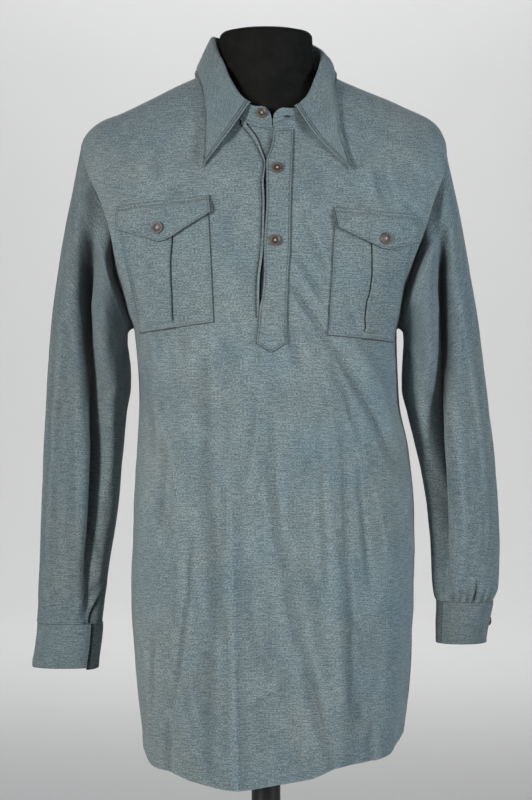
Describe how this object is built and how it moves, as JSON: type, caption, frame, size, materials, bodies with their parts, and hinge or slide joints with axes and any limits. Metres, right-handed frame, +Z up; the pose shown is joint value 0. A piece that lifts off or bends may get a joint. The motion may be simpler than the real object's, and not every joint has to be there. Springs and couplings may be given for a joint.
{
  "type": "military shirt on a limbless dress form",
  "caption": "Long pullover service shirt with half placket, pleated flap pockets, pointed collar and side vents, on a limbless torso form with a pole and a round base.",
  "frame": {"origin": "middle of the base's underside, on the floor", "axes": "+Z up, -Y out of the shirt's front, +X to the wearer's left"},
  "size_m": [0.5793, 0.38, 1.209],
  "materials": {
    "cloth": "matt grey-blue melange weave",
    "button": "satin brown",
    "form": "matt black",
    "stand": "satin black"
  },
  "bodies": {
    "root": {"front": "cloth", "back": "cloth", "sleeve_right": "cloth", "sleeve_left": "cloth", "cuff_right": "cloth", "cuff_left": "cloth", "collar_stand": "cloth", "collar_leaf": "cloth", "placket_over": "cloth", "placket_under": "cloth", "pocket_right": "cloth", "pocket_left": "cloth", "flap_right": "cloth", "flap_left": "cloth", "pocket_button_right": "button", "pocket_button_left": "button", "placket_button_1": "button", "placket_button_2": "button", "collar_button": "button", "cuff_button_left": "button", "display_form": "form", "pole": "stand", "base": "stand"}
  },
  "joints": []
}
